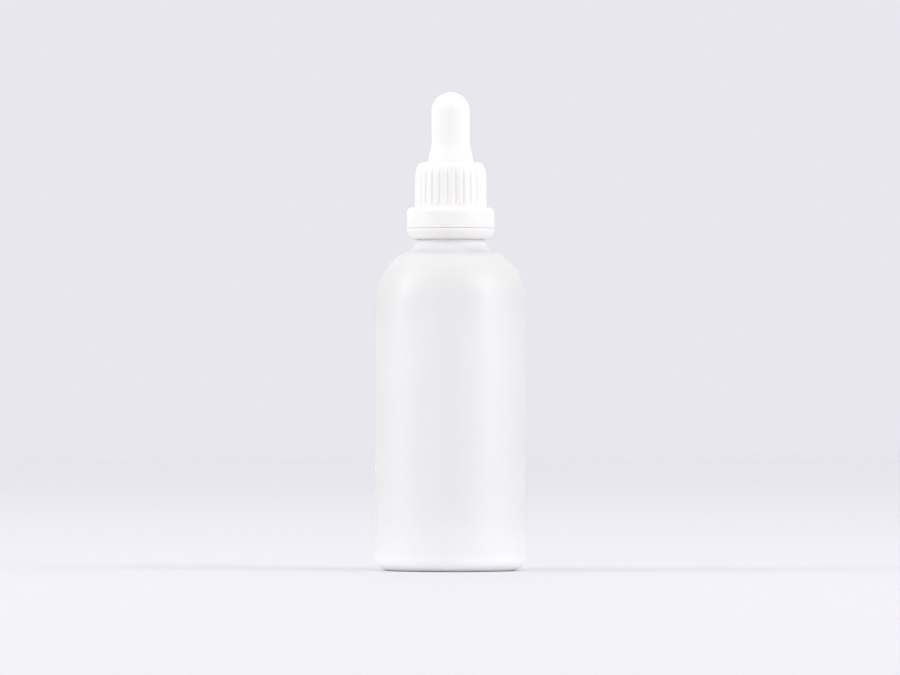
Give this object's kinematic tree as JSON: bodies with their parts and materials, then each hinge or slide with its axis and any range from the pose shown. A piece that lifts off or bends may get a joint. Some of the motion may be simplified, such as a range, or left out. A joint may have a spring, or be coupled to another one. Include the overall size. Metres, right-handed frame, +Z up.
{
  "type": "medicine dropper bottle",
  "caption": "Frosted glass bottle closed by a ribbed white screw cap with a tamper band, a rubber dropper bulb and a glass pipette that reaches down almost to the base.",
  "frame": {"origin": "centre of the base, on the surface that the bottle stands on", "axes": "+Z up along the bottle's axis, towards the bulb; the bottle is round, so +X and +Y are free, and +X is to the right in the view along +Y"},
  "size_m": [0.0445, 0.0444, 0.1417],
  "materials": {
    "frosted_glass": "acid-frosted outside, smooth inside, faintly green at the thick base",
    "white_plastic": "satin white polypropylene",
    "washer_foam": "off-white foamed polyethylene",
    "natural_plastic": "uncoloured polyethylene",
    "clear_glass": "clear drawn glass",
    "white_rubber": "satin white rubber"
  },
  "bodies": {
    "bottle": {"bottle": "frosted_glass"},
    "band": {"tamper_band": "white_plastic"},
    "seal": {"sealing_washer": "washer_foam"},
    "dropper": {"pipette_holder": "natural_plastic", "pipette": "clear_glass"},
    "bulb": {"bulb": "white_rubber"},
    "cap": {"screw_cap": "white_plastic"}
  },
  "joints": [
    {"name": "dropper_pull", "type": "slide", "parent": "bottle", "child": "seal", "axis": [0, 0, 1], "range_m": [0, 0.105]},
    {"name": "cap_rise", "type": "slide", "parent": "seal", "child": "dropper", "axis": [0, 0, 1], "range_m": [0, 0.0045]},
    {"name": "cap_turn", "type": "hinge", "parent": "dropper", "child": "cap", "pos_m": [0, 0, 0.1125], "axis": [0, 0, 1], "range_deg": [0, 540]},
    {"name": "bulb_press", "type": "slide", "parent": "dropper", "child": "bulb", "axis": [0, 0, -1], "range_m": [0, 0.005], "stiffness_N_per_m": 400, "deforming": ["bulb"]},
    {"name": "band_turn", "type": "hinge", "parent": "bottle", "child": "band", "pos_m": [0, 0, 0.1], "axis": [0, 0, 1], "continuous": true}
  ],
  "couplings": [
    {"joint": "cap_rise", "follows": "cap_turn", "m_per_rad": 0.00047746}
  ]
}
